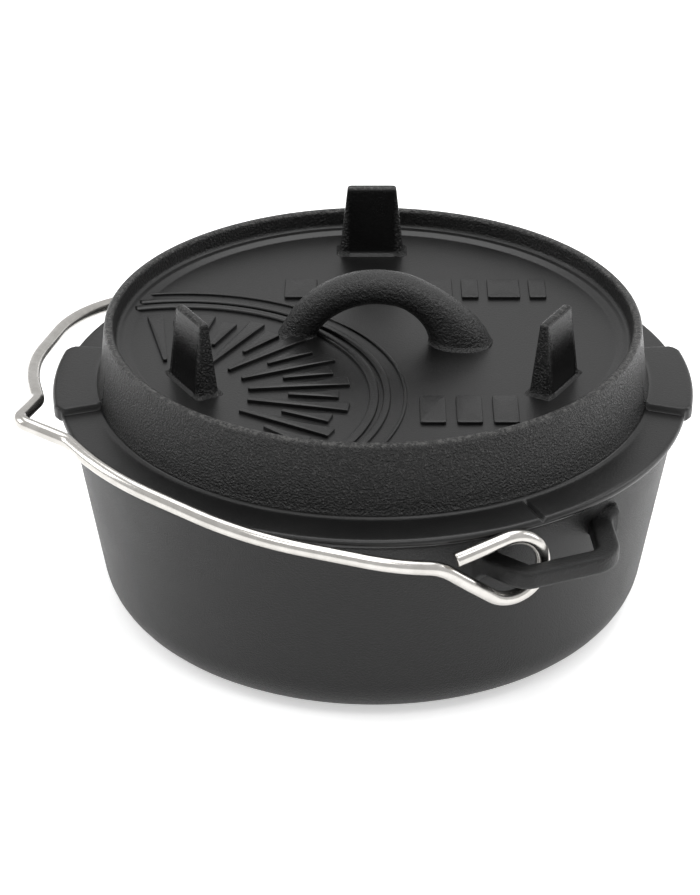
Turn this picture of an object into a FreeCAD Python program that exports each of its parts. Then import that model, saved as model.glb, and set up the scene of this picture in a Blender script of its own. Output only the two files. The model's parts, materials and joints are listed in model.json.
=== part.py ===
"""Cast iron dutch oven: a flat-bottomed pot, a lid that also works as a footed pan, and a wire bail.

Millimetres, +Z up.  The origin is the centre of the pot's flat base, on the surface it stands on.
Each of the three castings or forgings is written to parts/ as its own solid.
"""
import FreeCAD, Part
import math
import os

from FreeCAD import Vector

# ---- driving dimensions ------------------------------------------------------------------

# pot
MOUTH_RADIUS = 105.5        # outside of the wall, at the rim
BASE_RADIUS = 93.0          # outside of the wall, carried on down to the floor
RIM_Z = 74.7                # top of the pot's rim
WALL = 5.0
FLOOR = 5.5
OUTER_CORNER = 17.0         # rounding between the wall and the base
INNER_CORNER = 12.5

# pouring lips, one under each of the lid's tabs
LIP_REACH = 110.0           # how far out the lip comes at the rim
LIP_HALF_WIDTH = 9.5
LIP_DEPTH = 19.0            # from the rim down to the lip's point
LIP_WALL = 3.4
LIP_THROAT_DEPTH = 8.8      # the lip's inside stops well above the point

# lugs that the bail hooks into; each is drawn with Y straight out along the pivot, and X across it
# towards the side where the bail rests
PIVOT_AZIMUTH = -67.0       # through both hooks; one lug is here and the other is opposite
LUG_BOTTOM = 61.0
LUG_TOP = 67.4
LUG_OUTLINE = (             # across, out, corner rounding
    (14.0, 96.0, 0),
    (0.2, 121.2, 6.5),
    (-35.0, 121.2, 11.0),
    (-46.0, 88.0, 0),
)
LUG_HOLE = (
    (4.9, 96.0, 0),
    (-4.6, 114.9, 2.0),
    (-29.1, 114.9, 5.0),
    (-38.1, 88.0, 0),
)

# lid
LID_GAP = 0.3               # between the rim and the lid that rests on it
FLANGE_RADIUS = 108.5
FLANGE_THICK = 3.4
LID_RIM_Z = 103.5           # top of the raised wall
LID_RIM_OUTER = 92.0
LID_RIM_INNER = 89.0
LID_WALL_FOOT = 94.6        # outside of the raised wall, just above the flange
DISC_Z = 96.0               # the flat top inside the raised wall
DISC_THICK = 4.6
LEDGE_WIDTH = 4.5           # low step round the disc's edge
LEDGE_HIGH = 1.2
SPIGOT_OUTER = 99.0         # ring under the lid that keeps it centred in the mouth
SPIGOT_WIDTH = 4.0
SPIGOT_DEEP = 3.6

GROOVE_AZIMUTH = -60.0      # small radial groove in the flange's top
GROOVE_RADIUS = 1.5
GROOVE_SUNK = 0.2           # its middle line, below the flange's top
GROOVE_START = 2.0          # clear of the raised wall's foot
GROOVE_LENGTH = 20.0        # runs off the flange's edge

TAB_HALF_ANGLE = 13.0
TAB_REACH = 110.6
TAB_RISE = 2.4              # above the flange
TAB_CORNER = 4.0

LEG_TOP_Z = 121.6
LEG_RADIUS = 69.4           # middle of a leg's top
LEG_TOP = (17.5, 4.4)       # along the rim, and across
LEG_FOOT = (23.0, 8.0)
LEG_CORNER = 0.36           # rounding of a leg's upright corners, as a share of its thickness
LEG_EDGE = 0.9
LEG_SUNK = 2.0              # how far the feet run down into the disc
LEG_AZIMUTHS = (90.0, 210.0, 330.0)

HANDLE_AZIMUTH = -7.0
HANDLE_TOP_Z = 121.0
HANDLE_BAR = 12.0           # diameter
HANDLE_OFFSET = 2.5         # the arch's middle, from the lid's centre
HANDLE_HALF_SPAN = 29.0     # from there to where the bar's middle line meets the disc
HANDLE_FOOT_FLARE = 3.0     # how far each foot spreads past the bar
HANDLE_FOOT_HIGH = 5.0
HANDLE_FOOT_TOP = 0.46      # radius of a foot's top, as a share of the bar
HANDLE_SUNK = 3.0           # how far the arc is carried on below the disc's top
HANDLE_TRIM = 1.5           # where its ends are cut level, below the disc's top
FOOT_SUNK = 1.0

# bail
WIRE = 4.8
PIVOT_Z = 65.0
BAIL_REST = 11.0            # degrees above level where the bail comes to rest
BAIL_RADIUS = 111.6         # arch of the bail
BAIL_CENTRE = 6.0           # the arch's centre, out from the pivot axis
HOOK_PLANE = 111.5          # distance of each hook from the middle, along the pivot axis
HOOK_RADIUS = 11.2
HOOK_TAIL = 15.5
GRIP_REACH = 130.5          # the notch in the middle of the bail
GRIP_BEND = 5.5
GRIP_HALF_WIDTH = 15.5      # the notch's foot, where it joins the arch
GRIP_FOOT_REACH = 118.2
GRIP_FOOT_BEND = 10.0
ARCH_CORNERS = (            # angle from the middle, half the turn at that corner, bend radius
    (21.5, 13.5, 80.0),
    (48.5, 13.5, 80.0),
    (72.5, 10.5, 55.0),
)
LEG_LEAN = 1.1              # each leg's top stands this much nearer the middle than its hook
LEG_BEND = 17.0             # where the arch turns down into a leg
LEG_KNEE = 0.43             # a slight bend this share of the way up the leg
LEG_KNEE_BEND = 28.0
HOOK_MEET_ANGLE = 27.0      # slope of the leg where it meets the hook's circle
HOOK_ARC = (-63.0, -293.0)  # the circle's run, from the leg round to the tail

EDGE = 1.2                  # ordinary softened edge on the castings


# ---- helpers -----------------------------------------------------------------------------

def polar(radius, azimuth, z=0.0):
    """A point at this radius and azimuth in degrees."""
    turn = math.radians(azimuth)
    return Vector(radius * math.cos(turn), radius * math.sin(turn), z)


def turned(shape, azimuth):
    """The shape turned about the Z axis."""
    copy = shape.copy()
    copy.rotate(Vector(0, 0, 0), Vector(0, 0, 1), azimuth)
    return copy


def rounded_edges(points, radii, closed):
    """Straight edges through the points, with a tangent arc of the given radius at each corner."""
    count = len(points)
    starts = []
    ends = []
    arcs = []
    for index, corner in enumerate(points):
        radius = radii[index]
        if radius == 0 or (not closed and index in (0, count - 1)):
            starts.append(corner)
            ends.append(corner)
            arcs.append(None)
            continue
        back = (points[index - 1] - corner).normalize()
        ahead = (points[(index + 1) % count] - corner).normalize()
        half = back.getAngle(ahead) / 2
        trim = radius / math.tan(half)
        middle_way = (back + ahead).normalize()
        centre = corner + middle_way * (radius / math.sin(half))
        starts.append(corner + back * trim)
        ends.append(corner + ahead * trim)
        middle = centre - middle_way * radius
        arcs.append(Part.Arc(starts[-1], middle, ends[-1]).toShape())
    edges = []
    for index in range(count):
        if arcs[index] is not None:
            edges.append(arcs[index])
        if index + 1 == count and not closed:
            break
        target = starts[(index + 1) % count]
        if (target - ends[index]).Length > 1e-6:
            edges.append(Part.LineSegment(ends[index], target).toShape())
    return edges


def revolved(outline, radii):
    """A full turn of an outline given as (radius, height) corners with their roundings."""
    points = [Vector(radius, 0, height) for radius, height in outline]
    face = Part.Face(Part.Wire(rounded_edges(points, radii, True)))
    return face.revolve(Vector(0, 0, 0), Vector(0, 0, 1), 360)


def plate(outline, radii, bottom, top):
    """An upright prism over a rounded outline in the XY plane."""
    points = [Vector(x, y, bottom) for x, y in outline]
    face = Part.Face(Part.Wire(rounded_edges(points, radii, True)))
    return face.extrude(Vector(0, 0, top - bottom))


def soften(shape, edges, radius):
    """The shape with these edges rounded."""
    return shape.makeFillet(radius, edges)


def level_edges(shape, height):
    """Edges that lie wholly at one height."""
    found = []
    for edge in shape.Edges:
        box = edge.BoundBox
        if abs(box.ZMin - height) < 1e-6 and abs(box.ZMax - height) < 1e-6:
            found.append(edge)
    return found


# ---- pot ---------------------------------------------------------------------------------

def wall_radius(height):
    """Outside radius of the pot's wall at this height."""
    return BASE_RADIUS + (MOUTH_RADIUS - BASE_RADIUS) * height / RIM_Z


def pot_shell():
    """The round pot: a tapered wall that turns into a flat base."""
    outline = [
        (0, 0),
        (wall_radius(0), 0),
        (MOUTH_RADIUS, RIM_Z),
        (MOUTH_RADIUS - WALL, RIM_Z),
        (wall_radius(FLOOR) - WALL, FLOOR),
        (0, FLOOR),
    ]
    radii = [0, OUTER_CORNER, 1.6, 1.6, INNER_CORNER, 0]
    return revolved(outline, radii)


def lip_cone(reach, half_width, depth):
    """A cone with its point down, centred so that it comes out to the given reach at the rim."""
    centre = Vector(reach - half_width, 0, RIM_Z - depth)
    return Part.makeCone(0, half_width, depth, centre, Vector(0, 0, 1))


def lug():
    """One flat ear: two arms from the wall, joined by an outer bar, round an open hole."""
    outer = [(across, out) for across, out, _ in LUG_OUTLINE]
    hole = [(across, out) for across, out, _ in LUG_HOLE]
    body = plate(outer, [rounding for _, _, rounding in LUG_OUTLINE], LUG_BOTTOM, LUG_TOP)
    body = body.cut(plate(hole, [rounding for _, _, rounding in LUG_HOLE], LUG_BOTTOM - 1, LUG_TOP + 1))
    edges = [edge for edge in level_edges(body, LUG_TOP) + level_edges(body, LUG_BOTTOM)
             if edge.BoundBox.YMax > MOUTH_RADIUS]
    return turned(soften(body, edges, EDGE), PIVOT_AZIMUTH - 90)


def pot():
    """Pot with its two lugs and two pouring lips, one casting."""
    cavity = revolved(
        [(0, FLOOR), (wall_radius(FLOOR) - WALL, FLOOR), (MOUTH_RADIUS - WALL, RIM_Z), (0, RIM_Z)],
        [0, INNER_CORNER, 0, 0])
    shape = pot_shell()
    for azimuth in (0, 180):
        shape = shape.fuse(turned(lug(), azimuth).cut(cavity))
    for azimuth in (0, 180):
        spout = lip_cone(LIP_REACH, LIP_HALF_WIDTH, LIP_DEPTH).cut(cavity)
        throat = lip_cone(LIP_REACH - LIP_WALL, LIP_HALF_WIDTH - LIP_WALL, LIP_THROAT_DEPTH)
        shape = shape.fuse(turned(spout, azimuth)).cut(turned(throat, azimuth))
    return shape.removeSplitter()


# ---- lid ---------------------------------------------------------------------------------

def lid_shell():
    """The lid turned in one piece: raised wall, tray, flange and centring ring."""
    under = RIM_Z + LID_GAP
    flange_top = under + FLANGE_THICK
    spigot_inner = SPIGOT_OUTER - SPIGOT_WIDTH
    disc_under = DISC_Z - DISC_THICK
    outline = [
        (0, DISC_Z),
        (LID_RIM_INNER - LEDGE_WIDTH - 0.6, DISC_Z),
        (LID_RIM_INNER - LEDGE_WIDTH, DISC_Z + LEDGE_HIGH),
        (LID_RIM_INNER - 0.6, DISC_Z + LEDGE_HIGH),
        (LID_RIM_INNER, LID_RIM_Z),
        (LID_RIM_OUTER, LID_RIM_Z),
        (LID_WALL_FOOT, flange_top + 0.3),
        (FLANGE_RADIUS, flange_top - 0.5),
        (FLANGE_RADIUS, under),
        (SPIGOT_OUTER, under),
        (SPIGOT_OUTER - 0.4, under - SPIGOT_DEEP),
        (spigot_inner, under - SPIGOT_DEEP),
        (LID_WALL_FOOT - WALL, under + 2.0),
        (LID_RIM_OUTER - WALL, disc_under),
        (0, disc_under),
    ]
    radii = [0, 0.5, 0.5, 0.8, 1.3, 1.3, 4.0, 1.4, 1.3, 0.6, 0.8, 1.0, 3.0, 4.0, 0]
    return revolved(outline, radii)


def tab():
    """A raised pad on the flange along +X, to lift the lid by."""
    under = RIM_Z + LID_GAP
    top = under + FLANGE_THICK + TAB_RISE
    inner = LID_WALL_FOOT - 0.8
    half = math.radians(TAB_HALF_ANGLE)
    corners = []
    for radius, sides in ((inner, (-1, 0, 1)), (TAB_REACH, (1, 0, -1))):
        for side in sides:
            corners.append(Vector(radius * math.cos(side * half), radius * math.sin(side * half), under))
    edges = [
        Part.Arc(corners[0], corners[1], corners[2]).toShape(),
        Part.LineSegment(corners[2], corners[3]).toShape(),
        Part.Arc(corners[3], corners[4], corners[5]).toShape(),
        Part.LineSegment(corners[5], corners[0]).toShape(),
    ]
    pad = Part.Face(Part.Wire(edges)).extrude(Vector(0, 0, top - under))
    uprights = [edge for edge in pad.Edges
                if edge.BoundBox.ZLength > 1 and edge.BoundBox.XMin > TAB_REACH - 5]
    pad = soften(pad, uprights, TAB_CORNER)
    rim = [edge for edge in level_edges(pad, top) if edge.BoundBox.XMax > inner + 2]
    return soften(pad, rim, EDGE)


def leg():
    """One tapered leg along +X, from inside the disc up to its level top."""
    foot_z = DISC_Z - LEG_SUNK
    sections = []
    for height, (along, across) in ((foot_z, LEG_FOOT), (LEG_TOP_Z, LEG_TOP)):
        outline = [Vector(LEG_RADIUS + sx * across / 2, sy * along / 2, height)
                   for sx, sy in ((-1, -1), (1, -1), (1, 1), (-1, 1))]
        rounding = across * LEG_CORNER
        sections.append(Part.Wire(rounded_edges(outline, [rounding] * 4, True)))
    body = Part.makeLoft(sections, True, True)
    return soften(body, level_edges(body, LEG_TOP_Z), LEG_EDGE)


def bar_along(edges, diameter):
    """A round bar along a smooth path."""
    path = Part.Wire(edges)
    start = path.OrderedVertexes[0].Point
    first = path.OrderedEdges[0]
    way = first.tangentAt(first.FirstParameter)
    if (first.valueAt(first.FirstParameter) - start).Length > 1e-6:
        way = first.tangentAt(first.LastParameter) * -1
    ring = Part.Wire(Part.makeCircle(diameter / 2, start, way))
    return path.makePipeShell([ring], True, True)


def handle():
    """The arch handle on the disc: a round bar along an arc, with a flared foot at each end."""
    crown_z = HANDLE_TOP_Z - HANDLE_BAR / 2
    rise = crown_z - DISC_Z
    radius = (HANDLE_HALF_SPAN ** 2 + rise ** 2) / (2 * rise)
    reach = math.acos((radius - rise - HANDLE_SUNK) / radius)
    ends = [Vector(side * radius * math.sin(reach), 0, DISC_Z - HANDLE_SUNK) for side in (-1, 1)]
    arc = Part.Arc(ends[0], Vector(0, 0, crown_z), ends[1]).toShape()
    shape = bar_along([arc], HANDLE_BAR)
    for side in (-1, 1):
        foot = Part.makeCone(HANDLE_BAR / 2 + HANDLE_FOOT_FLARE, HANDLE_BAR * HANDLE_FOOT_TOP,
                             HANDLE_FOOT_HIGH + FOOT_SUNK,
                             Vector(side * HANDLE_HALF_SPAN, 0, DISC_Z - FOOT_SUNK))
        shape = shape.fuse(foot)
    waste = Part.makeBox(200, 200, 10, Vector(-100, -100, DISC_Z - HANDLE_TRIM - 10))
    shape = shape.cut(waste)
    shape.translate(Vector(HANDLE_OFFSET, 0, 0))
    return shape


def groove():
    """The cutter for the flange's groove: a round bar lying along +X, half sunk in the top."""
    middle = RIM_Z + LID_GAP + FLANGE_THICK - GROOVE_SUNK
    start = Vector(LID_WALL_FOOT + GROOVE_START, 0, middle)
    return Part.makeCylinder(GROOVE_RADIUS, GROOVE_LENGTH, start, Vector(1, 0, 0))


def lid():
    """Lid with its tabs, three legs and arch handle, one casting."""
    shape = lid_shell().cut(turned(groove(), GROOVE_AZIMUTH))
    for azimuth in (0, 180):
        shape = shape.fuse(turned(tab(), azimuth))
    for azimuth in LEG_AZIMUTHS:
        shape = shape.fuse(turned(leg(), azimuth))
    shape = shape.fuse(turned(handle(), HANDLE_AZIMUTH))
    return shape.removeSplitter()


# ---- bail --------------------------------------------------------------------------------

def bail_half():
    """One half of the bail: its corners and their radii, from the middle notch to the hook.

    X runs along the pivot axis, Y out from it in the bail's own plane, Z square to that plane.
    """
    def around(angle, widen):
        """A corner outside the arch, where two of its tangents meet."""
        turn = math.radians(angle)
        reach = BAIL_RADIUS / math.cos(math.radians(widen))
        return Vector(reach * math.sin(turn), BAIL_CENTRE + reach * math.cos(turn), 0)

    meet = math.radians(HOOK_MEET_ANGLE)
    along = Vector(0, math.cos(meet), math.sin(meet))
    touch = Vector(HOOK_PLANE, HOOK_RADIUS * math.sin(meet), -HOOK_RADIUS * math.cos(meet))
    rise = -touch.z / math.sin(meet)
    leave = touch + along * rise
    leave.x -= LEG_LEAN
    points = [Vector(GRIP_HALF_WIDTH, GRIP_FOOT_REACH, 0)]
    radii = [GRIP_FOOT_BEND]
    for angle, widen, bend in ARCH_CORNERS:
        points.append(around(angle, widen))
        radii.append(bend)
    points += [leave, touch + along * (LEG_KNEE * rise), touch]
    radii += [LEG_BEND, LEG_KNEE_BEND, 0]
    return points, radii


def hook_edges(side):
    """The hook at one end: most of a circle about the pivot axis, then a straight tail."""
    def on_circle(angle):
        turn = math.radians(angle)
        return Vector(side * HOOK_PLANE, HOOK_RADIUS * math.cos(turn), HOOK_RADIUS * math.sin(turn))

    begin, finish = HOOK_ARC
    ring = Part.Arc(on_circle(begin), on_circle((begin + finish) / 2), on_circle(finish)).toShape()
    turn = math.radians(finish)
    way = Vector(0, math.sin(turn), -math.cos(turn))
    end = on_circle(finish)
    tail = Part.LineSegment(end, end + way * HOOK_TAIL).toShape()
    return [ring, tail]


def bail():
    """The bail in its rest position: one bent wire, hooked round an arm of each lug."""
    points, radii = bail_half()
    mirrored = [Vector(-point.x, point.y, point.z) for point in reversed(points)]
    corners = mirrored + [Vector(0, GRIP_REACH, 0)] + points
    bends = list(reversed(radii)) + [GRIP_BEND] + radii
    edges = hook_edges(-1) + rounded_edges(corners, bends, False) + hook_edges(1)
    wire = Part.Wire(Part.__sortEdges__(edges))
    shape = bar_along(wire.OrderedEdges, WIRE)
    for end in (wire.OrderedVertexes[0].Point, wire.OrderedVertexes[-1].Point):
        shape = shape.fuse(Part.makeSphere(WIRE / 2, end))
    shape = shape.removeSplitter()
    shape.rotate(Vector(0, 0, 0), Vector(1, 0, 0), BAIL_REST)
    shape = shape.mirror(Vector(0, 0, 0), Vector(0, 1, 0))
    shape.translate(Vector(0, 0, PIVOT_Z))
    return turned(shape, PIVOT_AZIMUTH)


# ---- write the parts ---------------------------------------------------------------------

def main():
    os.makedirs("parts", exist_ok=True)
    for name, build in (("pot", pot), ("lid", lid), ("bail", bail)):
        shape = build()
        if len(shape.Solids) != 1 or not shape.isValid():
            raise ValueError(name + " is not one valid solid")
        solid = shape.Solids[0]
        solid.exportStep("parts/" + name + ".step")
        box = solid.BoundBox
        print(name, "volume %.0f mm3" % solid.Volume,
              "x %.1f..%.1f y %.1f..%.1f z %.1f..%.1f" % (
                  box.XMin, box.XMax, box.YMin, box.YMax, box.ZMin, box.ZMax))


main()
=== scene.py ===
"""Cast iron dutch oven: the finished surfaces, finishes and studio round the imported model.

Sizes are in millimetres here and become metres when a mesh is made.  The origin is the centre of
the pot's base on the floor and +Z is up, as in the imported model.
"""
import json
import math

import bpy
import numpy as np
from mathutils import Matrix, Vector


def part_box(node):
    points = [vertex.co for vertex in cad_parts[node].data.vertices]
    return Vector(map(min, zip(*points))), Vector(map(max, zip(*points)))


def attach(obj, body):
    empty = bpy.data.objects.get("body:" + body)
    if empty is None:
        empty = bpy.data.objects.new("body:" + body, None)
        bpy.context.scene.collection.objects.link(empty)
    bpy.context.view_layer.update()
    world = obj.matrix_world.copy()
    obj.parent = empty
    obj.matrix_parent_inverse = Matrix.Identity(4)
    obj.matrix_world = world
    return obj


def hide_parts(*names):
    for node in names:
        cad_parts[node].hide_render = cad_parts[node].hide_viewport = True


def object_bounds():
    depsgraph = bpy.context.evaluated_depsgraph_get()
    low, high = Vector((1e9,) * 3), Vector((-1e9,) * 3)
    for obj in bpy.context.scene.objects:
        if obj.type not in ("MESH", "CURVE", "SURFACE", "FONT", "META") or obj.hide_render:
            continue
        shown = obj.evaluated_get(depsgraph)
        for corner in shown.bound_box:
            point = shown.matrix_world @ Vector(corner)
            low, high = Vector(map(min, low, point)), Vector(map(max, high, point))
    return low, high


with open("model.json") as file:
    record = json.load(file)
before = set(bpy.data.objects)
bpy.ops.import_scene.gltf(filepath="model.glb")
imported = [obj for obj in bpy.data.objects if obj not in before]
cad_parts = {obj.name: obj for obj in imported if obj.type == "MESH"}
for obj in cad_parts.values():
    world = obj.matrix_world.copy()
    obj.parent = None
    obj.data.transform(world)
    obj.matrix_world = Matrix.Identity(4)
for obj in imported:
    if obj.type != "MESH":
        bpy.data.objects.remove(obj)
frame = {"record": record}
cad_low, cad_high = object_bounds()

MM = 0.001


# ---- sizes -------------------------------------------------------------------------------

def height_of(node, corner):
    """The lowest (0) or highest (1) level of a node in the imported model, in millimetres."""
    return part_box(node)[corner][2] / MM


# pot
RIM_Z = height_of("pot", 1)
MOUTH_RADIUS = 105.5
BASE_RADIUS = 93.0
WALL = 5.0
FLOOR = 5.5
OUTER_CORNER = 17.0
INNER_CORNER = 12.5
RIM_ROUND = 1.8
HUB = 2.0                   # a turned surface stops this far from the axis, and a fan closes it

# pouring lips, at azimuth 0 and 180
LIP_REACH = 110.0
LIP_HALF_WIDTH = 9.5
LIP_DEPTH = 19.0
LIP_WALL = 3.4
LIP_BLEND = 0.5             # how softly a lip runs into the wall

# lugs: middle lines, across (towards the side where the bail rests) and out along the pivot
PIVOT_AZIMUTH = -67.0
LUG_Z = 64.2
LUG_THICK = 6.4
LUG_MIDDLE = ((10.5, 94.0), (-2.4, 118.0), (-32.2, 118.0), (-42.0, 88.0))
LUG_CORNERS = (3.6, 8.0)
LUG_ARM_WIDTH = 7.8
LUG_BAR_WIDTH = 6.4
LUG_WALL_FILLET = (3.0, 2.5)    # across the arm, and up and down
LUG_SQUARENESS = 0.42

# lid
UNDER_Z = RIM_Z + 0.3
FLANGE_TOP_Z = UNDER_Z + 3.4
FLANGE_RADIUS = 108.5
LID_RIM_Z = 103.5
LID_RIM_OUTER = 92.0
LID_RIM_INNER = 89.0
LID_WALL_FOOT = 94.6
DISC_Z = 96.0
DISC_THICK = 4.6
LEDGE_WIDTH = 4.5
LEDGE_HIGH = 1.3
LEDGE_SLOPE = 1.1           # half the width of its slope
LEDGE_SHOULDER = 0.8        # the share of its height that the slope climbs
LEDGE_STOP = 0.6            # it ends this far inside the lid's wall
FLANGE_FALL = (0.3, 0.5)    # the flange's top: above its level at the wall, and below it at the edge
SPIGOT_OUTER = 99.0
SPIGOT_WIDTH = 4.0
SPIGOT_DEEP = 3.6
SPIGOT_TAPER = 0.4
UNDER_WALL = 2.0            # the hollow under the lid starts this far above the flange's underside
LID_ROUNDINGS = (0, 2.2, 2.2, 1.5, 1.35, 1.35, 2.6, 1.5, 1.4, 0.6, 0.8, 1.0, 3.0, 4.0, 0)
TAB_HALF_ANGLE = 13.0
TAB_REACH = 110.6
TAB_RISE = 2.4
GROOVE_AZIMUTH = -60.0
GROOVE_HALF_WIDTH = 1.2
GROOVE_DEPTH = 0.8

# legs and arch handle on the lid
LEG_TOP_Z = height_of("lid", 1)
LEG_RADIUS = 69.4
LEG_TOP = (17.5, 3.4)
LEG_FOOT = (23.0, 8.0)
LEG_AZIMUTHS = (90.0, 210.0, 330.0)
LEG_SUNK = 1.5              # how far it runs down into the disc
LEG_FLARE_HIGH = 4.0        # finer rings up to here, for the fillet
LEG_FILLET = 1.7
LEG_ROUND = 1.2
LEG_SQUARENESS = 0.24
LEG_END = (7.6, 9.4)        # from the middle along a leg: where its sandy end begins, and is full
LEG_GROUND = (16.0, 12.0)   # inside the legs' circle, where a leg's own worn places fade in
HANDLE_AZIMUTH = -7.0
HANDLE_BAR = 11.8
HANDLE_THIN = 5.8           # half thickness of the arch away from its feet
HANDLE_BEAD = (1.8, 0.8)    # radius of the bead round a foot, and the share of it that shows
HANDLE_WIDENS = 0.45        # a thicker foot is this much of its extra thickness wider too

# bail
WIRE = 4.8
PIVOT_Z = frame["record"]["behaviour"]["joints"][1]["pos_m"][2] / MM
BAIL_REST = 11.0
BAIL_RADIUS = 111.6
BAIL_CENTRE = 6.0
HOOK_PLANE = 111.5
HOOK_RADIUS = 11.2
HOOK_TAIL = 15.5
HOOK_ARC = (-63.0, -293.0)
HOOK_MEET_ANGLE = 27.0      # slope of the leg where it meets the hook's circle
LEG_LEAN = 1.1              # each leg's top stands this much nearer the middle than its hook
LEG_BEND = 17.0             # where the arch turns down into a leg
LEG_KNEE = 0.43             # a slight bend this share of the way up the leg
LEG_KNEE_BEND = 28.0
GRIP_REACH = 130.5
GRIP_BEND = 5.5
GRIP_HALF_WIDTH = 15.5
GRIP_FOOT_REACH = 118.2
GRIP_FOOT_BEND = 10.0
ARCH_CORNERS = (            # angle from the middle, half the turn at that corner, bend radius
    (21.5, 13.5, 80.0),
    (48.5, 13.5, 80.0),
    (72.5, 10.5, 55.0),
)
END_REACH = 2.2             # how far each cut end runs past the path
END_BEVEL = 0.5


# ---- shells: closed surfaces from grids of points ------------------------------------------

def closed_shell(points, ring=False):
    """A closed surface from rows of points.

    Every row closes on itself.  With ring, the last row also joins the first, as on a torus;
    otherwise each end row is closed by a fan to its mean point.  The signed volume, the sum of
    a.(b x c)/6 over the triangles, decides which way round the faces go.
    """
    rows, columns, _ = points.shape
    row = np.arange(rows if ring else rows - 1)[:, None]
    column = np.arange(columns)[None, :]
    below = (row + 1) % rows
    beside = (column + 1) % columns
    quads = np.stack([row * columns + column, row * columns + beside,
                      below * columns + beside, below * columns + column], -1).reshape(-1, 4)
    vertices = points.reshape(-1, 3)
    fans = np.zeros((0, 3), int)
    if not ring:
        vertices = np.vstack([vertices, points[0].mean(0), points[-1].mean(0)])
        here = np.arange(columns)
        ahead = (here + 1) % columns
        last = (rows - 1) * columns
        first_fan = np.stack([np.full(columns, rows * columns), ahead, here], -1)
        last_fan = np.stack([np.full(columns, rows * columns + 1), last + here, last + ahead], -1)
        fans = np.vstack([first_fan, last_fan])
    triangles = np.vstack([quads[:, :3], quads[:, [0, 2, 3]], fans])
    a, b, c = (vertices[triangles[:, corner]] for corner in range(3))
    if np.einsum("ij,ij->i", a, np.cross(b, c)).sum() < 0:
        quads = quads[:, ::-1]
        fans = fans[:, ::-1]
    return vertices, quads, fans


def turned(points, azimuth):
    """Points turned about the Z axis by an azimuth in degrees."""
    turn = math.radians(azimuth)
    spin = np.array([[math.cos(turn), -math.sin(turn), 0],
                     [math.sin(turn), math.cos(turn), 0],
                     [0, 0, 1]])
    return points @ spin.T


def make_piece(name, shells, body, finish, stands_for=None):
    """One smooth-shaded mesh object in metres from one or more closed shells."""
    vertices = []
    faces = []
    start = 0
    for points, quads, fans in shells:
        vertices.append(points * MM)
        faces += (quads + start).tolist() + (fans + start).tolist()
        start += len(points)
    mesh = bpy.data.meshes.new(name)
    mesh.from_pydata(np.vstack(vertices).tolist(), [], faces)
    mesh.polygons.foreach_set("use_smooth", np.ones(len(faces), bool))
    mesh.materials.append(finish)
    mesh.update()
    piece = bpy.data.objects.new(name, mesh)
    bpy.context.scene.collection.objects.link(piece)
    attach(piece, body)
    if stands_for:
        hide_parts(stands_for)
    return piece


# ---- curves ------------------------------------------------------------------------------

def rounded_line(corners, radii, line_steps, arc_steps):
    """Points along straight runs joined by tangent arcs, the same number whatever the sizes.

    At a corner with unit directions p back and q ahead and half angle h between them, the arc's
    centre lies r / sin h along p + q, and it touches the runs r / tan h from the corner.
    """
    corners = np.asarray(corners, float)
    pieces = []
    for index, corner in enumerate(corners):
        radius = radii[index]
        if radius == 0:
            pieces.append(corner[None, :])
            continue
        back = corners[index - 1] - corner
        ahead = corners[index + 1] - corner
        back /= np.linalg.norm(back)
        ahead /= np.linalg.norm(ahead)
        half = math.acos(np.clip(back @ ahead, -1, 1)) / 2
        bisector = (back + ahead) / np.linalg.norm(back + ahead)
        centre = corner + bisector * radius / math.sin(half)
        outward = -bisector
        sideways = back - ahead
        sideways /= np.linalg.norm(sideways)
        angle = np.linspace(math.pi / 2 - half, half - math.pi / 2, arc_steps + 1)[:, None]
        pieces.append(centre + radius * (np.cos(angle) * outward + np.sin(angle) * sideways))
    points = [pieces[0]]
    for index in range(1, len(pieces)):
        share = np.linspace(0, 1, line_steps[index - 1] + 1)[1:-1, None]
        start = pieces[index - 1][-1]
        points.append(start + share * (pieces[index][0] - start))
        points.append(pieces[index])
    return np.vstack(points)


def superellipse(count, power):
    """Points (cos t, sin t) with each raised to a power, so that a low power squares the circle."""
    angle = np.linspace(0, 2 * math.pi, count, endpoint=False)
    ring = np.stack([np.cos(angle), np.sin(angle)], -1)
    return np.sign(ring) * np.abs(ring) ** power


def ease(low, high, value):
    """0 below low, 1 above high and 3t^2 - 2t^3 between them."""
    share = np.clip((value - low) / (high - low), 0, 1)
    return share * share * (3 - 2 * share)


def soft_max(one, other, blend):
    """The larger of two, with a rounded join: (a + b + sqrt((a - b)^2 + k^2)) / 2."""
    return (one + other + np.sqrt((one - other) ** 2 + blend ** 2)) / 2


def fillet(distance, radius):
    """How far a concave fillet stands out at a distance from the face that it grows from."""
    inside = np.clip(radius - distance, 0, radius)
    return radius - np.sqrt(radius ** 2 - inside ** 2)


def columns_with_detail(details, step=1.0):
    """Azimuths for a lathe, in radians: one every step of degrees, and finer ones near each detail.

    A detail is its middle, how far it reaches to each side and its own step, in degrees.
    """
    angles = [np.arange(0, 360, step)]
    for middle, reach, fine in details:
        angles.append(np.arange(middle - reach, middle + reach + fine / 2, fine) % 360)
    angles = np.unique(np.round(np.concatenate(angles), 4))
    keep = np.concatenate([[True], np.diff(angles) > 0.04])
    return np.radians(angles[keep])


def lathe(radius, height, azimuth):
    """Points at radius(row, column) and height(row, column), turned to each column's azimuth."""
    return np.stack([radius * np.cos(azimuth), radius * np.sin(azimuth), height], -1)


# ---- pot ---------------------------------------------------------------------------------

def wall_radius(height):
    """Outside radius of the pot's straight wall."""
    return BASE_RADIUS + (MOUTH_RADIUS - BASE_RADIUS) * height / RIM_Z


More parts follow.
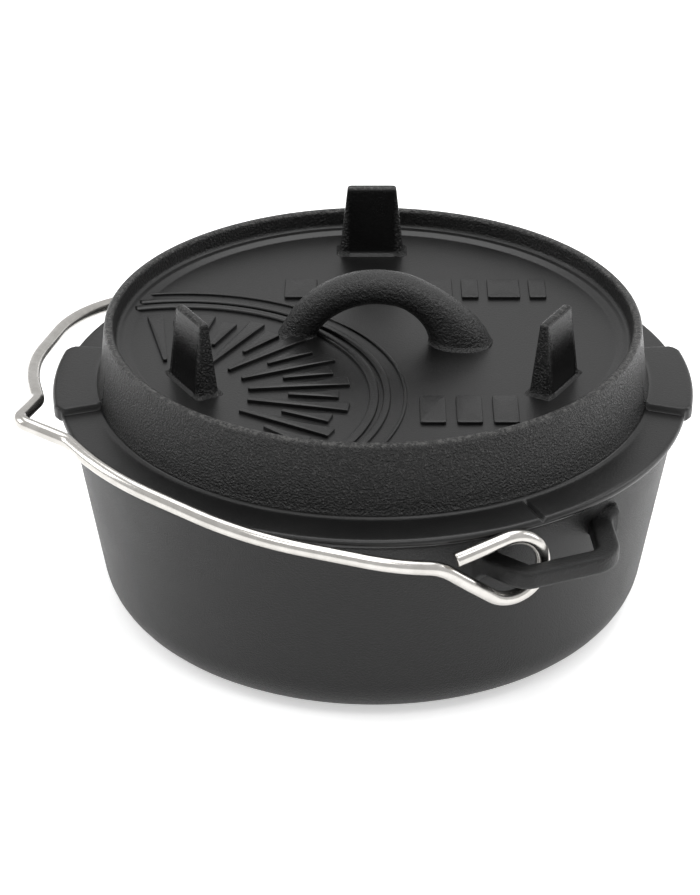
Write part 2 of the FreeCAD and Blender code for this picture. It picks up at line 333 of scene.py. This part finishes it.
def pot_shell():
    """A tapered wall with a rounded base and rim, turned about Z.

    At each lip the wall gives way to a cone with its point down, whose outline at one level is a
    circle: its distance from the axis is c + sqrt(a^2 - y^2), y across the lip, and the wall is
    the larger of that and the plain wall.  The inside does the same with a smaller cone.
    """
    corners = [(HUB, 0), (wall_radius(0), 0), (MOUTH_RADIUS, RIM_Z), (MOUTH_RADIUS - WALL, RIM_Z),
               (wall_radius(FLOOR) - WALL, FLOOR), (HUB, FLOOR)]
    radii = [0, OUTER_CORNER, RIM_ROUND, RIM_ROUND, INNER_CORNER, 0]
    outline = rounded_line(corners, radii, [10, 56, 2, 50, 10], 10)
    azimuth = columns_with_detail([(0, 7, 0.3), (180, 7, 0.3)])
    radius = np.repeat(outline[:, :1], len(azimuth), 1)
    height = np.repeat(outline[:, 1:], len(azimuth), 1)
    top = len(outline) // 2
    outside = (np.arange(len(outline)) <= top)[:, None]
    centre = LIP_REACH - LIP_HALF_WIDTH
    across = centre * np.sin(azimuth)
    for reach, depth, side in ((LIP_HALF_WIDTH, LIP_DEPTH, outside),
                               (LIP_HALF_WIDTH - LIP_WALL, LIP_DEPTH - 3 * LIP_WALL, ~outside)):
        cone = reach * np.clip(1 - (RIM_Z - height) / depth, 0, 1)
        inside_cone = np.clip(cone ** 2 - across ** 2, 0, None)
        lip = np.where(inside_cone > 0, centre + np.sqrt(inside_cone), 0)
        radius = np.where(side & (lip > 0), soft_max(radius, lip, LIP_BLEND), radius)
    return closed_shell(lathe(radius, height, azimuth))


def lug_shell(azimuth):
    """A flat bar carried along the lug's middle line: out along one arm, across, and back.

    Its section is a squared ellipse, wider on the arms than on the outer bar.  Near the wall both
    half sizes grow by a fillet, by how far each point stands out from the wall.  A point nearer the
    axis than the middle of the wall is moved straight out to it, so the ends stay inside the wall.
    """
    middle = [(across, out, LUG_Z) for across, out in LUG_MIDDLE]
    path = rounded_line(middle, [0, *LUG_CORNERS, 0], [30, 24, 30], 18)
    tangent = np.gradient(path, axis=0)
    tangent /= np.linalg.norm(tangent, axis=1)[:, None]
    side = np.stack([tangent[:, 1], -tangent[:, 0], np.zeros(len(path))], -1)
    clear = np.hypot(path[:, 0], path[:, 1]) - wall_radius(LUG_Z)
    level = np.abs(tangent[:, 0]) ** 2
    sideways, upright = LUG_WALL_FILLET
    wide = (LUG_ARM_WIDTH + (LUG_BAR_WIDTH - LUG_ARM_WIDTH) * level) / 2 + fillet(clear, sideways)
    thick = LUG_THICK / 2 + fillet(clear, upright)
    section = superellipse(44, LUG_SQUARENESS)
    points = (path[:, None, :] + side[:, None, :] * (wide[:, None] * section[:, 0])[..., None]
              + np.array([0, 0, 1.0]) * (thick[:, None] * section[:, 1])[..., None])
    reach = np.hypot(points[..., 0], points[..., 1])
    points[..., :2] *= np.clip((wall_radius(points[..., 2]) - WALL / 2) / reach, 1, None)[..., None]
    return closed_shell(turned(points, azimuth - 90))


# ---- lid ---------------------------------------------------------------------------------

def lid_outline(flange_top, reach):
    """Half section of the lid from the middle of its top, over the rim and under to the middle."""
    spigot_inner = SPIGOT_OUTER - SPIGOT_WIDTH
    disc_under = DISC_Z - DISC_THICK
    above_at_wall, below_at_edge = FLANGE_FALL
    corners = [
        (HUB, DISC_Z),
        (LID_RIM_INNER - LEDGE_WIDTH - LEDGE_SLOPE, DISC_Z),
        (LID_RIM_INNER - LEDGE_WIDTH + LEDGE_SLOPE, DISC_Z + LEDGE_HIGH * LEDGE_SHOULDER),
        (LID_RIM_INNER - LEDGE_STOP, DISC_Z + LEDGE_HIGH),
        (LID_RIM_INNER, LID_RIM_Z),
        (LID_RIM_OUTER, LID_RIM_Z),
        (LID_WALL_FOOT, flange_top + above_at_wall),
        (reach, flange_top - below_at_edge),
        (reach, UNDER_Z),
        (SPIGOT_OUTER, UNDER_Z),
        (SPIGOT_OUTER - SPIGOT_TAPER, UNDER_Z - SPIGOT_DEEP),
        (spigot_inner, UNDER_Z - SPIGOT_DEEP),
        (LID_WALL_FOOT - WALL, UNDER_Z + UNDER_WALL),
        (LID_RIM_OUTER - WALL, disc_under),
        (HUB, disc_under),
    ]
    steps = [12, 2, 3, 8, 2, 16, 16, 2, 6, 3, 3, 6, 10, 12]
    return rounded_line(corners, LID_ROUNDINGS, steps, 7)


def lid_shell():
    """The lid's section turned about Z.

    Over each tab the section eases to a second one with a higher and wider flange.  The groove
    sinks the flange's top by a V across its width.
    """
    plain = lid_outline(FLANGE_TOP_Z, FLANGE_RADIUS)
    raised = lid_outline(FLANGE_TOP_Z + TAB_RISE, TAB_REACH)
    edges = [(side + end, 0.9, 0.12) for side in (0, 180) for end in (-TAB_HALF_ANGLE, TAB_HALF_ANGLE)]
    azimuth = columns_with_detail(edges + [(GROOVE_AZIMUTH, 1.3, 0.15)])
    degrees = np.degrees(azimuth)
    from_tab = np.abs((degrees + 90) % 180 - 90)
    lifted = 1 - ease(TAB_HALF_ANGLE - 0.45, TAB_HALF_ANGLE, from_tab)
    widened = 1 - ease(TAB_HALF_ANGLE - 2.2, TAB_HALF_ANGLE - 0.2, from_tab) ** 2
    radius = plain[:, :1] + (raised - plain)[:, :1] * widened
    height = plain[:, 1:] + (raised - plain)[:, 1:] * lifted
    off_groove = (degrees - GROOVE_AZIMUTH + 180) % 360 - 180
    across = radius * np.radians(off_groove)
    notch = np.clip(1 - np.abs(across) / GROOVE_HALF_WIDTH, 0, 1)
    on_top = ease(LID_WALL_FOOT + 1, LID_WALL_FOOT + 4, radius) * ease(UNDER_Z + 1, UNDER_Z + 2.5, height)
    height = height - GROOVE_DEPTH * notch * on_top
    return closed_shell(lathe(radius, height, azimuth))


def leg_shell(azimuth):
    """A tapered slab: squared ellipses stacked up, with a fillet at the foot and a rounded top."""
    height = np.concatenate([
        np.linspace(DISC_Z - LEG_SUNK, DISC_Z + LEG_FLARE_HIGH, 18)[:-1],
        np.linspace(DISC_Z + LEG_FLARE_HIGH, LEG_TOP_Z - LEG_ROUND, 26)[:-1],
        LEG_TOP_Z - LEG_ROUND * (1 - np.sin(np.linspace(0, math.pi / 2, 8))),
    ])
    share = (height - DISC_Z) / (LEG_TOP_Z - DISC_Z)
    foot = fillet(np.clip(height - DISC_Z, 0, None), LEG_FILLET)
    crown = fillet(LEG_TOP_Z - height, LEG_ROUND)
    along = (LEG_FOOT[0] + (LEG_TOP[0] - LEG_FOOT[0]) * share) / 2 + foot - crown
    across = (LEG_FOOT[1] + (LEG_TOP[1] - LEG_FOOT[1]) * share) / 2 + foot - crown
    section = superellipse(72, LEG_SQUARENESS)
    points = np.stack([LEG_RADIUS + across[:, None] * section[:, 0],
                       along[:, None] * section[:, 1],
                       np.repeat(height[:, None], len(section), 1)], -1)
    return closed_shell(turned(points, azimuth))


HANDLE_MIDDLE = (           # along the handle, height, half thickness in the arch's plane
    (-27.4, 93.0, 6.3),
    (-25.4, 97.5, HANDLE_THIN),
    (-22.4, 102.4, HANDLE_THIN),
    (-17.9, 107.2, HANDLE_THIN),
    (-11.2, 111.6, HANDLE_THIN),
    (-3.5, 114.3, HANDLE_THIN),
    (4.0, 114.9, HANDLE_THIN),
    (11.5, 113.7, HANDLE_THIN),
    (18.0, 110.3, 6.2),
    (23.2, 106.0, 7.3),
    (26.8, 101.4, 8.8),
    (29.3, 97.0, 10.1),
    (31.0, 92.5, 10.9),
)


def smooth_through(knots, count):
    """Catmull-Rom curve through rows of values: a cubic between each two, sloped like its neighbours."""
    knots = np.asarray(knots, float)
    padded = np.vstack([2 * knots[0] - knots[1], knots, 2 * knots[-1] - knots[-2]])
    place = np.linspace(0, len(knots) - 1 - 1e-9, count)
    first = place.astype(int)
    t = (place - first)[:, None]
    a, b, c, d = (padded[first + offset] for offset in range(4))
    return 0.5 * (2 * b + (c - a) * t + (2 * a - 5 * b + 4 * c - d) * t ** 2
                  + (3 * b - 3 * c + d - a) * t ** 3)


def handle_shell():
    """A round bar along an arch, thicker at its right foot, with a small bead where it meets the disc."""
    knots = smooth_through(HANDLE_MIDDLE, 150)
    path = np.stack([knots[:, 0], np.zeros(len(knots)), knots[:, 1]], -1)
    tangent = np.gradient(path, axis=0)
    tangent /= np.linalg.norm(tangent, axis=1)[:, None]
    out = np.stack([-tangent[:, 2], np.zeros(len(path)), tangent[:, 0]], -1)
    ring = superellipse(56, 0.92)
    deep = knots[:, 2][:, None] * ring[:, 0]
    height = path[:, 2][:, None] + out[:, 2][:, None] * deep
    bead_radius, shown = HANDLE_BEAD
    bead = fillet(np.clip(height - DISC_Z, 0, None), bead_radius) * shown
    wide = (HANDLE_BAR / 2 + (knots[:, 2] - HANDLE_THIN) * HANDLE_WIDENS)[:, None] + bead
    inner_bead = np.where(ring[:, 0] < 0, bead, 0)
    points = (path[:, None, :] + out[:, None, :] * (deep + ring[:, 0] * inner_bead)[..., None]
              + np.array([0, 1.0, 0]) * (wide * ring[:, 1])[..., None])
    return closed_shell(turned(points, HANDLE_AZIMUTH))


# ---- raised pattern on the lid --------------------------------------------------------------

PATTERN_CENTRE = (-66.5, -44.0)
PATTERN_HIGH = 1.1
PATTERN_EDGE = 0.45         # rounding of a plate's top edge
PLATE_SUNK = 0.6
DISC_RADIUS = LID_RIM_INNER - LEDGE_WIDTH
RIBS = (                    # name, radius about the pattern's centre, width, height
    ("outer_ring", 70.9, 2.6, PATTERN_HIGH),
    ("inner_ring", 66.6, 3.2, PATTERN_HIGH),
    ("fine_ring", 77.0, 1.2, PATTERN_HIGH * 0.7),
)
RIB_OVERRUN = 1.0           # how far a rib's ends run in under the ledge
CLEAR_OF_LEDGE = 1.5
RAY_EVERY = 9               # degrees
LONG_RAY = (25.0, 59.0)     # from the pattern's centre
SHORT_RAY = (38.0, 55.0)
RAY_HALF_WIDTH = (0.7, 2.8)
RAY_CORNER = 0.5
BRICK_ROW = (29.0, 43.5)    # the row's front and back
BRICK_START = -31.0
BRICK_WIDTHS = (11.5, 6.0) * 4
BRICK_GAP = 3.2
BRICK_CORNER = 0.7
BLOCK_ROW = (-64.0, -45.5)
BLOCK_STARTS = (15.0, 27.0, 39.0)
BLOCK_WIDTH = 8.5
BLOCK_CORNER = 1.0


def arc_rib(radius, width, high):
    """A low rib along a circle about the pattern's centre, its ends inside the lid's ledge.

    The circle meets the ledge where the angle between the two centres' line and the point has
    cosine (R^2 - r^2 - d^2) / (2 r d), by the law of cosines.
    """
    centre = np.array(PATTERN_CENTRE)
    apart = np.linalg.norm(centre)
    ledge = DISC_RADIUS + RIB_OVERRUN
    half = math.pi - math.acos((ledge ** 2 - radius ** 2 - apart ** 2) / (2 * radius * apart))
    middle = math.atan2(-centre[1], -centre[0])
    angle = np.linspace(middle - half, middle + half, 180)
    out = np.stack([np.cos(angle), np.sin(angle), np.zeros_like(angle)], -1)
    path = np.array([centre[0], centre[1], DISC_Z]) + radius * out
    section = superellipse(20, 0.6)
    points = (path[:, None, :] + out[:, None, :] * (section[:, 0] * width / 2)[None, :, None]
              + np.array([0, 0, high]) * section[:, 1][None, :, None])
    return closed_shell(points)


def plaque(outline):
    """A low plate over a convex outline: rings that rise to the edge and then draw in over the top."""
    outline = np.asarray(outline, float)
    middle = outline.mean(0)
    reach = np.linalg.norm(outline - middle, axis=1).mean()
    turn = np.linspace(0, math.pi / 2, 5)
    inset = np.concatenate([[0, 0], PATTERN_EDGE * (1 - np.cos(turn))])
    level = np.concatenate([[-PLATE_SUNK, 0], PATTERN_HIGH - PATTERN_EDGE * (1 - np.sin(turn))])
    rings = middle + (outline - middle) * (1 - inset / reach)[:, None, None]
    height = np.repeat((DISC_Z + level)[:, None, None], len(outline), 1)
    return closed_shell(np.concatenate([rings, height], -1))


def rounded_outline(corners, radius):
    """A closed outline with rounded corners, in the XY plane."""
    corners = [tuple(corner) for corner in corners]
    start = tuple((np.array(corners[0]) + np.array(corners[-1])) / 2)
    line = rounded_line([start] + corners + [start], [0] + [radius] * len(corners) + [0],
                        [3] * (len(corners) + 1), 4)
    return line[:-1]


def on_disc(corners):
    """Whether every corner lies well inside the disc, clear of the ledge."""
    return all(math.hypot(x, y) < DISC_RADIUS - CLEAR_OF_LEDGE for x, y in corners)


def sun_rays():
    """Tapered rays fanning out from the pattern's centre, long and short in turn."""
    shells = []
    centre = np.array(PATTERN_CENTRE)
    thin, wide = RAY_HALF_WIDTH
    for index, degrees in enumerate(range(-5 * RAY_EVERY, 12 * RAY_EVERY, RAY_EVERY)):
        turn = math.radians(degrees)
        way = np.array([math.cos(turn), math.sin(turn)])
        side = np.array([-way[1], way[0]])
        near, far = SHORT_RAY if index % 2 else LONG_RAY
        corners = [centre + way * near - side * thin, centre + way * far - side * wide,
                   centre + way * far + side * wide, centre + way * near + side * thin]
        if on_disc(corners):
            shells.append(plaque(rounded_outline(corners, RAY_CORNER)))
    return shells


def brick_row():
    """A straight row of plain wide and narrow bricks across the back of the disc."""
    shells = []
    front, back = BRICK_ROW
    left = BRICK_START
    for width in BRICK_WIDTHS:
        corners = [(left, front), (left + width, front), (left + width, back), (left, back)]
        left += width + BRICK_GAP
        shells.append(plaque(rounded_outline(corners, BRICK_CORNER)))
    return shells


def three_blocks():
    """Three plain blocks near the front edge of the disc."""
    shells = []
    front, back = BLOCK_ROW
    for left in BLOCK_STARTS:
        right = left + BLOCK_WIDTH
        corners = [(left, front), (right, front), (right, back), (left, back)]
        shells.append(plaque(rounded_outline(corners, BLOCK_CORNER)))
    return shells


# ---- bail --------------------------------------------------------------------------------

def bail_corners():
    """The corners of half the bail, from beside the notch to the hook, and their bend radii.

    X runs along the pivot axis, Y out from it in the bail's own plane, Z square to that plane.
    """
    def around(angle, widen):
        """A corner outside the arch, where two of its tangents meet."""
        turn = math.radians(angle)
        reach = BAIL_RADIUS / math.cos(math.radians(widen))
        return (reach * math.sin(turn), BAIL_CENTRE + reach * math.cos(turn), 0)

    meet = math.radians(HOOK_MEET_ANGLE)
    touch = np.array([HOOK_PLANE, HOOK_RADIUS * math.sin(meet), -HOOK_RADIUS * math.cos(meet)])
    along = np.array([0, math.cos(meet), math.sin(meet)])
    rise = -touch[2] / math.sin(meet)
    leave = touch + along * rise - np.array([LEG_LEAN, 0, 0])
    corners = [(GRIP_HALF_WIDTH, GRIP_FOOT_REACH, 0)]
    corners += [around(angle, widen) for angle, widen, _ in ARCH_CORNERS]
    corners += [leave, touch + along * (LEG_KNEE * rise), touch]
    bends = [GRIP_FOOT_BEND] + [bend for _, _, bend in ARCH_CORNERS] + [LEG_BEND, LEG_KNEE_BEND, 0]
    return np.array(corners), bends


def hook_path():
    """The hook at the +X end: most of a circle about the pivot axis, then a straight tail."""
    angle = np.radians(np.linspace(*HOOK_ARC, 64))
    ring = np.stack([np.full_like(angle, HOOK_PLANE), HOOK_RADIUS * np.cos(angle),
                     HOOK_RADIUS * np.sin(angle)], -1)
    way = np.array([0, math.sin(angle[-1]), -math.cos(angle[-1])])
    tail = ring[-1] + np.linspace(0, HOOK_TAIL, 16)[1:, None] * way
    return np.vstack([ring[1:], tail])


def bail_shell():
    """A round wire along the whole bent path, from one hook's tail to the other's.

    A ring's first direction is square to the path and to a guide, which is the plane's normal on
    the arch and turns to the pivot axis on the legs and hooks.  Both ends are cut flat, with a
    quarter round of the bevel's radius at the edge.
    """
    corners, radii = bail_corners()
    mirror = np.array([-1, 1, 1])
    whole = np.vstack([corners[::-1] * mirror, [(0, GRIP_REACH, 0)], corners])
    bends = radii[::-1] + [GRIP_BEND] + radii
    steps = [3, 3, 4, 8, 8, 6, 4, 4, 6, 8, 8, 4, 3, 3]
    arch = rounded_line(whole, bends, steps, 14)
    hook = hook_path()
    path = np.vstack([hook[::-1] * mirror, arch, hook])
    tangent = np.gradient(path, axis=0)
    tangent /= np.linalg.norm(tangent, axis=1)[:, None]
    on_leg = 1 - ease(20, 60, path[:, 1])
    guide = np.stack([on_leg, np.zeros(len(path)), 1 - on_leg], -1)
    first = np.cross(tangent, guide)
    first /= np.linalg.norm(first, axis=1)[:, None]
    second = np.cross(tangent, first)
    thickness = np.full(len(path), WIRE / 2)
    cap = np.linspace(0, math.pi / 2, 6)
    for end, way in ((0, -1), (-1, 1)):
        tip = path[end] + way * tangent[end] * (END_REACH - END_BEVEL * (1 - np.sin(cap)))[:, None]
        thin = WIRE / 2 - END_BEVEL * (1 - np.cos(cap))
        order = slice(None, None, way)
        extra = [tip[order], np.repeat(first[end][None], len(cap), 0),
                 np.repeat(second[end][None], len(cap), 0), thin[order]]
        if way < 0:
            path, first, second, thickness = (np.concatenate([a, b]) for a, b in
                                              zip(extra, (path, first, second, thickness)))
        else:
            path, first, second, thickness = (np.concatenate([a, b]) for a, b in
                                              zip((path, first, second, thickness), extra))
    ring = superellipse(28, 1.0)
    points = path[:, None, :] + thickness[:, None, None] * (
        first[:, None, :] * ring[:, 0][None, :, None] + second[:, None, :] * ring[:, 1][None, :, None])
    tilt = math.radians(BAIL_REST)
    x, y, z = np.moveaxis(points, -1, 0)
    raised = np.stack([x, -(y * math.cos(tilt) - z * math.sin(tilt)),
                       y * math.sin(tilt) + z * math.cos(tilt) + PIVOT_Z], -1)
    return closed_shell(turned(raised, PIVOT_AZIMUTH))


# ---- shader maths ------------------------------------------------------------------------

class Value:
    """A shader socket that takes part in Python arithmetic: each operator adds a Math node."""

    def __init__(self, tree, socket):
        self.tree = tree
        self.socket = socket

    def node(self, kind, settings=(), **inputs):
        """Adds a node, makes its settings first, then fills its inputs, and returns it."""
        node = self.tree.nodes.new(kind)
        for name, value in dict(settings).items():
            setattr(node, name, value)
        for name, value in inputs.items():
            socket = node.inputs[int(name[1:])] if name[0] == "_" else node.inputs[name.replace("_", " ")]
            if isinstance(value, Value):
                self.tree.links.new(value.socket, socket)
            else:
                socket.default_value = value
        return node

    def wrap(self, node, output=0):
        return Value(self.tree, node.outputs[output])

    def maths(self, operation, *values):
        inputs = {"_%d" % index: value for index, value in enumerate(values)}
        return self.wrap(self.node("ShaderNodeMath", {"operation": operation}, **inputs))

    def __add__(self, other):
        return self.maths("ADD", self, other)

    def __sub__(self, other):
        return self.maths("SUBTRACT", self, other)

    def __mul__(self, other):
        return self.maths("MULTIPLY", self, other)

    def __rsub__(self, other):
        return self.maths("SUBTRACT", other, self)

    __radd__ = __add__
    __rmul__ = __mul__

    def root(self):
        return self.maths("SQRT", self)

    def band(self, low, high):
        """0 below low, 1 above high, eased between them."""
        node = self.node("ShaderNodeMapRange", {"interpolation_type": "SMOOTHSTEP"},
                         _0=self, _1=low, _2=high, _3=0.0, _4=1.0)
        return self.wrap(node)

    def noise(self, size_mm, detail, roughness):
        """Noise of about this grain size, from 0 to 1."""
        node = self.node("ShaderNodeTexNoise", {}, Vector=self, Scale=1 / (size_mm * MM),
                         Detail=detail, Roughness=roughness)
        return self.wrap(node)

    def mix(self, low, high):
        """A colour between two, by this value."""
        return self.wrap(self.node("ShaderNodeMix", {"data_type": "RGBA"}, _0=self, _6=low, _7=high), 2)

    def colour(self, low, high):
        """A colour between two given as three numbers each, by this value."""
        return self.mix((*low, 1), (*high, 1))


def new_finish(name):
    """An empty material, its Principled shader, and its object coordinates."""
    finish = bpy.data.materials.new(name)
    finish.use_nodes = True
    tree = finish.node_tree
    shader = tree.nodes["Principled BSDF"]
    place = Value(tree, tree.nodes.new("ShaderNodeTexCoord").outputs["Object"])
    return finish, tree, shader, place


def split(place):
    """The x, y and z of object coordinates, in millimetres."""
    node = place.node("ShaderNodeSeparateXYZ", {}, _0=place)
    return [Value(place.tree, node.outputs[axis]) * (1 / MM) for axis in range(3)]


PATCH_MM = 22               # size of the patches in an iron's sheen
SHEEN_PATCHES = 0.14        # how much they change the roughness
SHEEN_GRAIN = 0.16
# painted glints: the light base colour of bright specks on the sand, standing in for glints of light
PAINTED_SAND_GLINT = (0.05, 0.049, 0.048, 1)
BARE_IRON = (0.055, 0.054, 0.052, 1)
BARE_MM = 1.4               # size of the specks of bare iron


def seasoned_iron(name, tone, rough, gloss, grain_mm, grain_deep, sand_mm=0, sand_deep=0, masks=None):
    """Black seasoned casting: fine grain and coarser sand in the bump, a patchy satin sheen, painted glints
    on the sand, worn places.

    masks takes the coordinates in millimetres and returns two values from 0 to 1: how much bare
    iron shows, and how sandy the surface is, which also places the painted glints.
    """
    finish, tree, shader, place = new_finish(name)
    patches = place.noise(PATCH_MM, 3, 0.55)
    grain = place.noise(grain_mm, 3, 0.6)
    fine = place.noise(grain_mm * 0.35, 2, 0.5)
    height = grain * grain_deep + fine * (grain_deep * 0.35)
    colour = patches.band(0.3, 0.7).colour([tone * 0.8] * 3, [tone * 1.25] * 3)
    if masks:
        bare, sandy = masks(*split(place))
        sand = place.noise(sand_mm, 2, 0.6)
        height = height * (0.4 + 0.6 * sandy) + sand * sand_deep * sandy
        # painted glints: where the sand peaks, the base colour is lightened as if it caught the light
        painted_glint = sand.band(0.54, 0.64) * fine.band(0.46, 0.58) * sandy
        colour = painted_glint.mix(colour, PAINTED_SAND_GLINT)
    roughness = rough + (patches - 0.5) * SHEEN_PATCHES + (grain - 0.5) * SHEEN_GRAIN
    if masks:
        bare = bare * place.noise(BARE_MM, 3, 0.7).band(0.45, 0.62)
        colour = bare.mix(colour, BARE_IRON)
    tree.links.new(colour.socket, shader.inputs["Base Color"])
    tree.links.new(roughness.socket, shader.inputs["Roughness"])
    shader.inputs["Specular IOR Level"].default_value = gloss
    bump = place.node("ShaderNodeBump", {}, Height=height, Distance=MM, Strength=1.0)
    tree.links.new(bump.outputs["Normal"], shader.inputs["Normal"])
    return finish


def lid_wear_sand_and_glint_masks(x, y, z):
    """Bare iron on the lid's rim, and a sandy grain with painted glints on the outside of its wall."""
    out = (x * x + y * y).root()
    rim = z.band(LID_RIM_Z - 1.0, LID_RIM_Z - 0.2)
    above = z.band(FLANGE_TOP_Z + 0.2, FLANGE_TOP_Z + 1.2)
    wall = out.band(LID_RIM_INNER - 2.0, LID_RIM_OUTER - 1.5) - out.band(LID_WALL_FOOT, LID_WALL_FOOT + 0.8)
    return rim, wall * above


def leg_wear_sand_and_glint_masks(x, y, z):
    """Bare iron on the legs' level tops, and a sandy grain with painted glints on their narrow ends more than
    their faces.
    """
    ends = None
    begin, full = (LEG_RADIUS - inside for inside in LEG_GROUND)
    for azimuth in LEG_AZIMUTHS:
        turn = math.radians(azimuth)
        along = y * math.cos(turn) - x * math.sin(turn)
        out = x * math.cos(turn) + y * math.sin(turn)
        end = (along * along).root().band(*LEG_END) * out.band(begin, full)
        ends = end if ends is None else ends + end
    return z.band(LEG_TOP_Z - 1.0, LEG_TOP_Z - 0.1) * 0.6, ends * 0.9 + 0.1


STEEL_TONES = ((0.47, 0.455, 0.43), (0.55, 0.535, 0.51))


def bright_wire():
    """Drawn steel wire: fine lines and a faint mottle in the roughness."""
    finish, tree, shader, place = new_finish("bail_steel")
    mottle = place.noise(6, 3, 0.6)
    scratch = place.noise(0.5, 3, 0.6)
    colour = mottle.band(0.3, 0.7).colour(*STEEL_TONES)
    tree.links.new(colour.socket, shader.inputs["Base Color"])
    shader.inputs["Metallic"].default_value = 1.0
    roughness = 0.14 + mottle * 0.08 + scratch * 0.05
    tree.links.new(roughness.socket, shader.inputs["Roughness"])
    bump = place.node("ShaderNodeBump", {}, Height=scratch * 0.02, Distance=MM, Strength=0.6)
    tree.links.new(bump.outputs["Normal"], shader.inputs["Normal"])
    return finish


# ---- studio ------------------------------------------------------------------------------

CAMERA_DISTANCE = 1054.0
CAMERA_ELEVATION = 28.8
CAMERA_AIM = (-7.9, 0.0, 52.3)
LENS = 120.75
SENSOR_WIDTH = 36.0
FLOOR_HALF = 6.0            # metres
FLOOR_DROP = 0.0002         # below the pot's base, in metres
PAPER_TONE = 0.93
PAPER_GLOW = 0.45
SURROUND = 0.8
LIGHT_AIM = (0, 0, 0.08)
SOFTBOXES = (               # name, place in metres, width, height, watts
    ("top_light", (0.1, 0.45, 1.6), 1.6, 1.2, 16),
    ("left_light", (-1.5, 0.1, 0.9), 0.7, 1.0, 7),
    ("right_light", (1.5, 0.3, 0.8), 0.6, 1.0, 6),
    ("front_light", (0.1, -0.8, 1.5), 1.0, 0.5, 6),
)


def camera():
    """A long lens a metre away, looking down at the front of the pot."""
    data = bpy.data.cameras.new("camera")
    data.lens = LENS
    data.sensor_width = SENSOR_WIDTH
    data.clip_start = 0.05
    data.clip_end = 50.0
    eye = bpy.data.objects.new("camera", data)
    tilt = math.radians(CAMERA_ELEVATION)
    back = Vector((0, -math.cos(tilt), math.sin(tilt)))
    eye.location = (Vector(CAMERA_AIM) + back * CAMERA_DISTANCE) * MM
    eye.rotation_euler = (math.pi / 2 - tilt, 0, 0)
    bpy.context.scene.collection.objects.link(eye)
    bpy.context.scene.camera = eye


def softbox(name, place, aim, width, height, watts):
    """An area light at a place in metres, facing an aim point."""
    data = bpy.data.lights.new(name, "AREA")
    data.shape = "RECTANGLE"
    data.size = width
    data.size_y = height
    data.energy = watts
    light = bpy.data.objects.new(name, data)
    light.location = place
    light.rotation_euler = (Vector(aim) - Vector(place)).to_track_quat("-Z", "Y").to_euler()
    bpy.context.scene.collection.objects.link(light)


def studio():
    """A pale light table for a floor, an even pale surround and large soft lights."""
    mesh = bpy.data.meshes.new("floor")
    size = FLOOR_HALF
    level = cad_low.z - FLOOR_DROP
    corners = [(-size, -size, level), (size, -size, level), (size, size, level), (-size, size, level)]
    mesh.from_pydata(corners, [], [(0, 1, 2, 3)])
    floor = bpy.data.objects.new("floor", mesh)
    paper = bpy.data.materials.new("paper")
    paper.use_nodes = True
    shader = paper.node_tree.nodes["Principled BSDF"]
    shader.inputs["Base Color"].default_value = (PAPER_TONE, PAPER_TONE, PAPER_TONE, 1)
    shader.inputs["Roughness"].default_value = 0.9
    shader.inputs["Specular IOR Level"].default_value = 0.1
    shader.inputs["Emission Color"].default_value = (1, 1, 1, 1)
    shader.inputs["Emission Strength"].default_value = PAPER_GLOW
    mesh.materials.append(paper)
    bpy.context.scene.collection.objects.link(floor)
    world = bpy.data.worlds.new("surround")
    world.use_nodes = True
    background = world.node_tree.nodes["Background"]
    background.inputs["Color"].default_value = (1, 1, 1, 1)
    background.inputs["Strength"].default_value = SURROUND
    bpy.context.scene.world = world
    for name, place, width, height, watts in SOFTBOXES:
        softbox(name, place, LIGHT_AIM, width, height, watts)
    bpy.context.scene.view_settings.view_transform = "Standard"


# ---- put it together ---------------------------------------------------------------------

def build():
    """Every piece, in the order pot, lid and bail, each riding on its own body."""
    pot_iron = seasoned_iron("pot_iron", tone=0.0030, rough=0.42, gloss=0.30, grain_mm=0.6, grain_deep=0.34)
    lid_iron = seasoned_iron("lid_iron", tone=0.0028, rough=0.33, gloss=0.40, grain_mm=0.8, grain_deep=0.16,
                             sand_mm=0.75, sand_deep=1.0, masks=lid_wear_sand_and_glint_masks)
    leg_iron = seasoned_iron("leg_iron", tone=0.0018, rough=0.24, gloss=0.30, grain_mm=0.8, grain_deep=0.14,
                             sand_mm=0.75, sand_deep=0.8, masks=leg_wear_sand_and_glint_masks)
    arch_iron = seasoned_iron("arch_iron", tone=0.0020, rough=0.32, gloss=0.50, grain_mm=1.0, grain_deep=0.75)
    pattern_iron = seasoned_iron("pattern_iron", tone=0.0028, rough=0.33, gloss=0.40, grain_mm=0.9,
                                 grain_deep=0.10)
    steel = bright_wire()

    make_piece("pot_body", [pot_shell()], "pot", pot_iron, "pot")
    for name, azimuth in (("near_lug", PIVOT_AZIMUTH), ("far_lug", PIVOT_AZIMUTH + 180)):
        make_piece(name, [lug_shell(azimuth)], "pot", pot_iron)
    make_piece("lid_body", [lid_shell()], "lid", lid_iron, "lid")
    for name, azimuth in zip(("back_leg", "left_leg", "right_leg"), LEG_AZIMUTHS):
        make_piece(name, [leg_shell(azimuth)], "lid", leg_iron)
    make_piece("arch_handle", [handle_shell()], "lid", arch_iron)
    for name, radius, width, high in RIBS:
        make_piece(name, [arc_rib(radius, width, high)], "lid", pattern_iron)
    make_piece("ray_pattern", sun_rays(), "lid", pattern_iron)
    make_piece("brick_pattern", brick_row(), "lid", pattern_iron)
    make_piece("block_pattern", three_blocks(), "lid", pattern_iron)
    make_piece("bail_wire", [bail_shell()], "bail", steel, "bail")


camera()
studio()
build()
